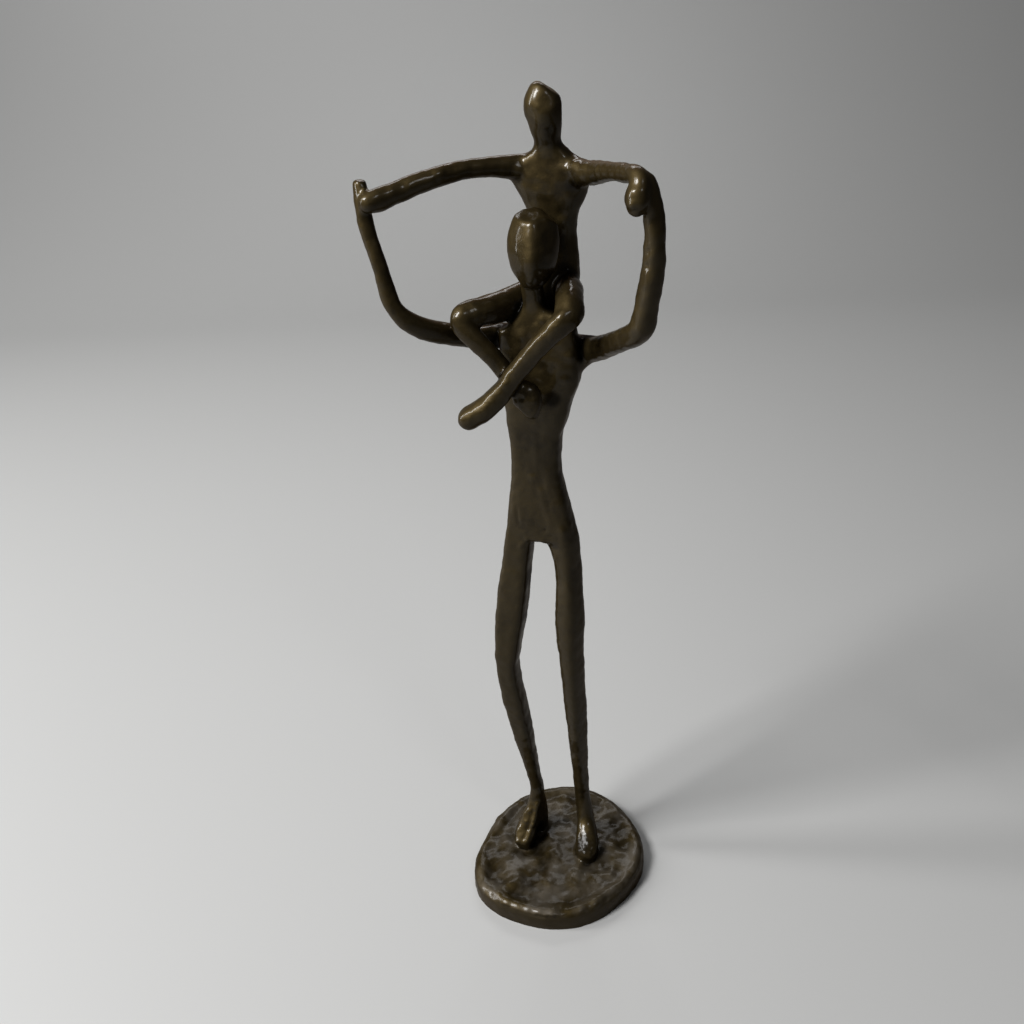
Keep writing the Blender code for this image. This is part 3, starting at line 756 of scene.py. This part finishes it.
def surfacePoints(mesh):
    # places in metres, normals, and the same places as written millimetres
    places = np.zeros(len(mesh.vertices) * 3)
    normals = np.zeros(len(mesh.vertices) * 3)
    mesh.vertices.foreach_get("co", places)
    mesh.vertex_normals.foreach_get("vector", normals)
    places = places.reshape(-1, 3)
    return places, normals.reshape(-1, 3), places / unit - (0, 0, written["baseThickness"])


def onBaseTop(spots, normals):
    return (spots[:, 2] < baseTop["below"]) & (normals[:, 2] > baseTop["upward"])


def castRelief(mesh):
    places, normals, spots = surfacePoints(mesh)
    height = np.full(len(places), relief["trim"])
    turned = spots @ np.array(Euler(relief["noiseTurn"]).to_matrix())
    for rise, width, seed in relief["lumps"]:
        height += [rise * lumps(spot, width, seed) for spot in turned]
    top = onBaseTop(spots, normals)
    for x, y, z, reach, rise, width in hammered:
        away = np.linalg.norm(spots - (x, y, z), axis=1)
        for index in np.nonzero((away < reach) & ~top)[0]:
            fade = 1 - (away[index] / reach) ** 2
            height[index] += fade * rise * lumps(turned[index], width, relief["hammerSeed"])
    for x, y, z, reach, rise in marks:
        away = np.linalg.norm(spots - (x, y, z), axis=1) / reach
        height += rise * np.clip(1 - away ** 2, 0, 1) ** 2
    for start, end, reach, rise in strokes:
        line = np.subtract(end, start)
        along = ((spots - start) @ line / (line @ line)).clip(0, 1)
        away = np.linalg.norm(spots - start - along[:, None] * line, axis=1) / reach
        height += rise * np.clip(1 - away ** 2, 0, 1) ** 2
    for index in np.nonzero(top)[0]:
        height[index] += dented(spots[index])
    places += normals * (height * unit)[:, None]
    mesh.vertices.foreach_set("co", places.ravel())
    mesh.update()


castRelief(skin)
print("casting relief raised")

# averaging passes, how far in millimetres a place lies under or over the averaged skin to count
# as a hollow, darkened as dirt and painted shade, or an edge, the share of that on the base's top,
# how full a painted shade spot is, and how dust thins with height and slope
wearAndShade = {"passes": 70, "depth": 0.45, "baseShare": 0.3, "fullness": 1.4,
        "dustTop": 1.5, "dustFade": 1.5, "dustSlope": 2.0, "dustSteep": 0.6}

# painted shade in recesses, under limbs, behind the head and beside the feet, where the colour is
# darkened and the coat thinned: place, reach and strength
paintedShadeSpots = [
    (-18.5, 3.5, 206.0, 3.0, 0.8), (10.2, -0.5, 5.5, 5.5, 0.7),     # right arm's root, left foot
    (1.5, 6.0, 217.0, 7.0, 1.0), (4.0, 8.0, 222.0, 6.0, 0.9),       # right of the neck
    (-10.5, 6.5, 212.0, 5.0, 0.8), (-15.5, 3.0, 203.5, 5.0, 0.9),   # left of the chest
    (12.5, 6.0, 204.0, 5.5, 1.0), (12.0, 4.0, 210.0, 4.0, 0.6),     # root of the left arm
    (2.6, -0.8, 188.4, 3.2, 0.8),                                   # right of the small foot
    (-14.5, 4.0, 210.6, 4.6, 0.9), (-10.0, 6.0, 208.8, 4.0, 0.8),   # under the other thigh
    (-2.5, 9.0, 233.0, 7.0, 0.6),                                   # behind the large head
    (-6.5, 5.0, 120.0, 5.5, 0.6), (-7.5, 4.0, 105.0, 5.0, 0.5),     # inner side of the leg
    (-7.2, 2.5, 5.0, 4.6, 1.0), (-9.0, -2.0, 1.5, 3.4, 0.9),        # beside the feet
    (14.8, 3.5, 0.6, 3.4, 0.7), (12.6, -3.4, 0.6, 2.8, 0.8),
]


def markWearAndShade(mesh):
    places, normals, spots = surfacePoints(mesh)
    count = len(places)
    ends = np.zeros(len(mesh.edges) * 2, dtype=np.int64)
    mesh.edges.foreach_get("vertices", ends)
    first, second = ends[0::2], ends[1::2]
    share = np.bincount(ends, minlength=count).clip(1)
    average = places.copy()
    for step in range(wearAndShade["passes"]):
        average = np.stack([
            (np.bincount(first, average[second, axis], count)
             + np.bincount(second, average[first, axis], count)) / share for axis in range(3)
        ], axis=1)
    # hollows under the averaged skin are darkened as dirt and painted shade, and the listed spots as
    # painted shade
    under = ((average - places) * normals).sum(axis=1) / (wearAndShade["depth"] * unit)
    dirtAndPaintedShade = under.clip(0, 1)
    dirtAndPaintedShade[onBaseTop(spots, normals)] *= wearAndShade["baseShare"]
    for x, y, z, reach, strength in paintedShadeSpots:
        away = np.linalg.norm(spots - (x, y, z), axis=1) / reach
        filled = np.clip(wearAndShade["fullness"] - wearAndShade["fullness"] * away ** 2, 0, 1)
        dirtAndPaintedShade = np.maximum(dirtAndPaintedShade, strength * filled)
    dust = (np.clip(wearAndShade["dustTop"] - spots[:, 2] / wearAndShade["dustFade"], 0, 1)
            * np.clip(normals[:, 2] * wearAndShade["dustSlope"] - wearAndShade["dustSteep"], 0, 1))
    for name, values in (("dirtAndPaintedShade", dirtAndPaintedShade), ("edge", (-under).clip(0, 1)), ("dust", dust)):
        layer = mesh.attributes.new(name, "FLOAT", "POINT")
        layer.data.foreach_set("value", values.astype(np.float32))


markWearAndShade(skin)
print("edges and hollows found")


def cutUnderside(mesh):
    # the casting is ground flat where it stands
    bm = bmesh.new()
    bm.from_mesh(mesh)
    bmesh.ops.bisect_plane(bm, geom=bm.verts[:] + bm.edges[:] + bm.faces[:], plane_co=(0, 0, 0),
                           plane_no=(0, 0, 1), clear_inner=True)
    rim = [edge for edge in bm.edges if edge.is_boundary]
    filled = bmesh.ops.edgeloop_fill(bm, edges=rim)["faces"]
    for face in bm.faces:
        face.smooth = True
    for face in filled:
        face.smooth = False
        face.material_index = 1
    for edge in rim:
        edge.smooth = False
    bm.to_mesh(mesh)
    bm.free()


cutUnderside(skin)
figures = bpy.data.objects.new("ironFigures", skin)
bpy.context.scene.collection.objects.link(figures)
print("underside cut,", len(skin.polygons), "faces")


def groupSocket(group, name, kind, direction, value=None):
    socket = group.interface.new_socket(name=name, in_out=direction, socket_type=kind)
    if value is not None:
        socket.default_value = value


def addNode(tree, kind, inputs=None, **settings):
    node = tree.nodes.new(kind)
    for name, value in settings.items():
        setattr(node, name, value)
    for key, value in (inputs or {}).items():
        # a Mix node has sockets of one name for each kind of data, and shows only one of them
        socket = node.inputs[key] if isinstance(key, int) else next(
            entry for entry in node.inputs if entry.name == key and entry.enabled)
        if isinstance(value, bpy.types.NodeSocket):
            tree.links.new(value, socket)
        else:
            socket.default_value = value
    return node


def addRamp(tree, fac, stops):
    node = addNode(tree, "ShaderNodeValToRGB", {"Fac": fac})
    while len(node.color_ramp.elements) < len(stops):
        node.color_ramp.elements.new(0.5)
    for element, (position, grey) in zip(node.color_ramp.elements, stops):
        element.position = position
        element.color = (grey, grey, grey, 1)
    return node.outputs["Color"]


# fixed for both finishes: sizes of patches, specks, powder and sheen as noise scales, and how
# much specks, rubbed edges, hollows (dirt and painted shade), film and dust change the colour, roughness
# and coat
patinaValues = {
    "patches": 90.0, "specks": 900.0, "powder": 120.0, "sheen": 240.0,
    "patchStops": [(0.36, 0.0), (0.66, 1.0)], "speckStops": [(0.40, 0.0), (0.72, 1.0)],
    "speckShare": 0.22, "edgeShare": 0.6, "hollowShade": 0.12,
    "sheenSpan": (0.3, 0.7), "hollowRough": 0.3, "filmRough": 0.18, "dustDull": -0.55,
}


def patinaGroup():
    # brown patina over dark iron, blacker in hollows as dirt and painted shade, rubbed on edges, dusty
    # on the base
    group = bpy.data.node_groups.new("unevenPatina", "ShaderNodeTree")
    groupSocket(group, "Place", "NodeSocketVector", "INPUT")
    groupSocket(group, "Dark", "NodeSocketColor", "INPUT", (0.03, 0.02, 0.01, 1))
    groupSocket(group, "Brown", "NodeSocketColor", "INPUT", (0.08, 0.06, 0.03, 1))
    groupSocket(group, "Pale", "NodeSocketColor", "INPUT", (0.12, 0.10, 0.08, 1))
    groupSocket(group, "Dirt And Painted Shade", "NodeSocketFloat", "INPUT", 0.0)
    groupSocket(group, "Edge", "NodeSocketFloat", "INPUT", 0.0)
    groupSocket(group, "Dust", "NodeSocketFloat", "INPUT", 0.0)
    groupSocket(group, "Least Rough", "NodeSocketFloat", "INPUT", 0.3)
    groupSocket(group, "Most Rough", "NodeSocketFloat", "INPUT", 0.5)
    groupSocket(group, "Colour", "NodeSocketColor", "OUTPUT")
    groupSocket(group, "Roughness", "NodeSocketFloat", "OUTPUT")
    groupSocket(group, "Clean", "NodeSocketFloat", "OUTPUT")
    given = group.nodes.new("NodeGroupInput").outputs
    patches = addNode(group, "ShaderNodeTexNoise", {"Vector": given["Place"],
                                                   "Scale": patinaValues["patches"],
                                                   "Detail": 5.0, "Roughness": 0.55})
    clouds = addRamp(group, patches.outputs["Fac"], patinaValues["patchStops"])
    specks = addNode(group, "ShaderNodeTexNoise", {"Vector": given["Place"],
                                                  "Scale": patinaValues["specks"],
                                                  "Detail": 2.0, "Roughness": 0.5})
    speckle = addRamp(group, specks.outputs["Fac"], patinaValues["speckStops"])
    amount = addNode(group, "ShaderNodeMath", {0: speckle, 1: patinaValues["speckShare"], 2: clouds},
                     operation="MULTIPLY_ADD", use_clamp=True)
    amount = addNode(group, "ShaderNodeMath", {0: given["Edge"], 1: patinaValues["edgeShare"],
                                               2: amount.outputs[0]}, operation="MULTIPLY_ADD")
    tone = addNode(group, "ShaderNodeMix", {"Factor": amount.outputs[0], "A": given["Dark"],
                                            "B": given["Brown"]}, data_type="RGBA")
    powder = addNode(group, "ShaderNodeTexNoise", {"Vector": given["Place"],
                                                  "Scale": patinaValues["powder"],
                                                  "Detail": 5.0, "Roughness": 0.55,
                                                  "Distortion": 0.6})
    film = addRamp(group, powder.outputs["Fac"], patinaValues["speckStops"])
    film = addNode(group, "ShaderNodeMath", {0: film, 1: given["Dust"]}, operation="MULTIPLY")
    dusty = addNode(group, "ShaderNodeMix", {"Factor": film.outputs[0], "A": tone.outputs["Result"],
                                             "B": given["Pale"]}, data_type="RGBA")
    # painted shade: the colour is darkened in hollows and in the listed shade spots
    shade = addNode(group, "ShaderNodeMapRange", {"Value": given["Dirt And Painted Shade"], "To Min": 1.0,
                                                  "To Max": patinaValues["hollowShade"]})
    colour = addNode(group, "ShaderNodeVectorMath", {0: dusty.outputs["Result"],
                                                     1: shade.outputs["Result"]},
                     operation="MULTIPLY")
    sheen = addNode(group, "ShaderNodeTexNoise", {"Vector": given["Place"],
                                                 "Scale": patinaValues["sheen"],
                                                 "Detail": 4.0, "Roughness": 0.6})
    rough = addNode(group, "ShaderNodeMapRange", {"Value": sheen.outputs["Fac"],
                                                  "From Min": patinaValues["sheenSpan"][0],
                                                  "From Max": patinaValues["sheenSpan"][1],
                                                  "To Min": given["Least Rough"],
                                                  "To Max": given["Most Rough"]})
    rough = addNode(group, "ShaderNodeMath", {0: given["Dirt And Painted Shade"], 1: patinaValues["hollowRough"],
                                              2: rough.outputs["Result"]}, operation="MULTIPLY_ADD")
    rough = addNode(group, "ShaderNodeMath", {0: film.outputs[0], 1: patinaValues["filmRough"],
                                              2: rough.outputs[0]}, operation="MULTIPLY_ADD")
    bare = addNode(group, "ShaderNodeMath", {0: given["Dust"], 1: patinaValues["dustDull"], 2: 1.0},
                   operation="MULTIPLY_ADD")
    clean = addNode(group, "ShaderNodeMath", {0: shade.outputs["Result"], 1: bare.outputs[0]},
                    operation="MULTIPLY")
    out = group.nodes.new("NodeGroupOutput")
    group.links.new(colour.outputs[0], out.inputs["Colour"])
    group.links.new(rough.outputs[0], out.inputs["Roughness"])
    group.links.new(clean.outputs[0], out.inputs["Clean"])
    return group


# noise scales of the grain's lumps, grit and pits, and where a pit's slope starts and ends
grainValues = {"lumps": 520.0, "grit": 2300.0, "pits": 420.0, "pitStops": [(0.06, 0.0), (0.22, 1.0)]}


def grainGroup():
    # sand cast grain: soft lumps, fine grit and scattered pits, as one height
    group = bpy.data.node_groups.new("castGrain", "ShaderNodeTree")
    groupSocket(group, "Place", "NodeSocketVector", "INPUT")
    groupSocket(group, "Lumps", "NodeSocketFloat", "INPUT", 1.0)
    groupSocket(group, "Grit", "NodeSocketFloat", "INPUT", 0.3)
    groupSocket(group, "Pits", "NodeSocketFloat", "INPUT", 0.5)
    groupSocket(group, "Height", "NodeSocketFloat", "OUTPUT")
    given = group.nodes.new("NodeGroupInput").outputs
    soft = addNode(group, "ShaderNodeTexNoise", {"Vector": given["Place"],
                                                "Scale": grainValues["lumps"],
                                                "Detail": 3.0, "Roughness": 0.5, "Distortion": 0.3})
    grit = addNode(group, "ShaderNodeTexNoise", {"Vector": given["Place"],
                                                "Scale": grainValues["grit"],
                                                "Detail": 2.0, "Roughness": 0.6})
    cells = addNode(group, "ShaderNodeTexVoronoi", {"Vector": given["Place"],
                                                   "Scale": grainValues["pits"],
                                                   "Randomness": 1.0})
    holes = addRamp(group, cells.outputs["Distance"], grainValues["pitStops"])
    height = addNode(group, "ShaderNodeMath", {0: soft.outputs["Fac"], 1: given["Lumps"]},
                     operation="MULTIPLY")
    height = addNode(group, "ShaderNodeMath", {0: grit.outputs["Fac"], 1: given["Grit"],
                                               2: height.outputs[0]}, operation="MULTIPLY_ADD")
    height = addNode(group, "ShaderNodeMath", {0: holes, 1: given["Pits"], 2: height.outputs[0]},
                     operation="MULTIPLY_ADD")
    out = group.nodes.new("NodeGroupOutput")
    group.links.new(height.outputs[0], out.inputs["Height"])
    return group


patina = patinaGroup()
grain = grainGroup()

# finishes of the casting: the outer skin with its waxed patina, and the ground underside
patinatedIron = {
    "dark": (0.0080, 0.0054, 0.0020), "brown": (0.024, 0.0170, 0.0065),
    "pale": (0.058, 0.050, 0.039),
    "leastRough": 0.52, "mostRough": 0.68, "metallic": 0.95, "rim": (0.55, 0.47, 0.36),
    "coat": 0.28, "coatRoughness": 0.19,
    "lumps": 0.60, "grit": 0.25, "pits": 0.20, "bump": 0.55, "depth": 0.00025,
}
groundIron = {
    "dark": (0.040, 0.034, 0.027), "brown": (0.090, 0.076, 0.058), "pale": (0.120, 0.105, 0.085),
    "leastRough": 0.45, "mostRough": 0.62, "metallic": 0.9, "rim": (0.8, 0.75, 0.7),
    "coat": 0.0, "coatRoughness": 0.3,
    "lumps": 0.15, "grit": 0.50, "pits": 0.10, "bump": 0.40, "depth": 0.00015,
}


def ironMaterial(name, values):
    material = bpy.data.materials.new(name)
    material.use_nodes = True
    tree = material.node_tree
    shader = tree.nodes["Principled BSDF"]
    place = addNode(tree, "ShaderNodeTexCoord").outputs["Object"]
    skinTone = addNode(tree, "ShaderNodeGroup", node_tree=patina)
    tree.links.new(place, skinTone.inputs["Place"])
    # the first attribute carries dirt and painted shade, which darkens the colour; the others carry
    # rubbed edges and dust
    for socket, layer in (("Dirt And Painted Shade", "dirtAndPaintedShade"), ("Edge", "edge"), ("Dust", "dust")):
        found = addNode(tree, "ShaderNodeAttribute", attribute_name=layer)
        tree.links.new(found.outputs["Fac"], skinTone.inputs[socket])
    skinTone.inputs["Dark"].default_value = (*values["dark"], 1)
    skinTone.inputs["Brown"].default_value = (*values["brown"], 1)
    skinTone.inputs["Pale"].default_value = (*values["pale"], 1)
    skinTone.inputs["Least Rough"].default_value = values["leastRough"]
    skinTone.inputs["Most Rough"].default_value = values["mostRough"]
    surface = addNode(tree, "ShaderNodeGroup", node_tree=grain)
    tree.links.new(place, surface.inputs["Place"])
    surface.inputs["Lumps"].default_value = values["lumps"]
    surface.inputs["Grit"].default_value = values["grit"]
    surface.inputs["Pits"].default_value = values["pits"]
    bump = addNode(tree, "ShaderNodeBump", {"Height": surface.outputs["Height"],
                                           "Strength": values["bump"], "Distance": values["depth"]})
    tree.links.new(skinTone.outputs["Colour"], shader.inputs["Base Color"])
    tree.links.new(skinTone.outputs["Roughness"], shader.inputs["Roughness"])
    tree.links.new(bump.outputs["Normal"], shader.inputs["Normal"])
    shader.inputs["Metallic"].default_value = values["metallic"]
    shader.inputs["Specular Tint"].default_value = (*values["rim"], 1)
    coat = addNode(tree, "ShaderNodeMath", {0: skinTone.outputs["Clean"], 1: values["coat"]},
                   operation="MULTIPLY")
    tree.links.new(coat.outputs[0], shader.inputs["Coat Weight"])
    shader.inputs["Coat Roughness"].default_value = values["coatRoughness"]
    return material


skin.materials.append(ironMaterial("patinatedIron", patinatedIron))
skin.materials.append(ironMaterial("groundIron", groundIron))
print("finishes made")

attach(figures, "root")
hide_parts("figure_group")
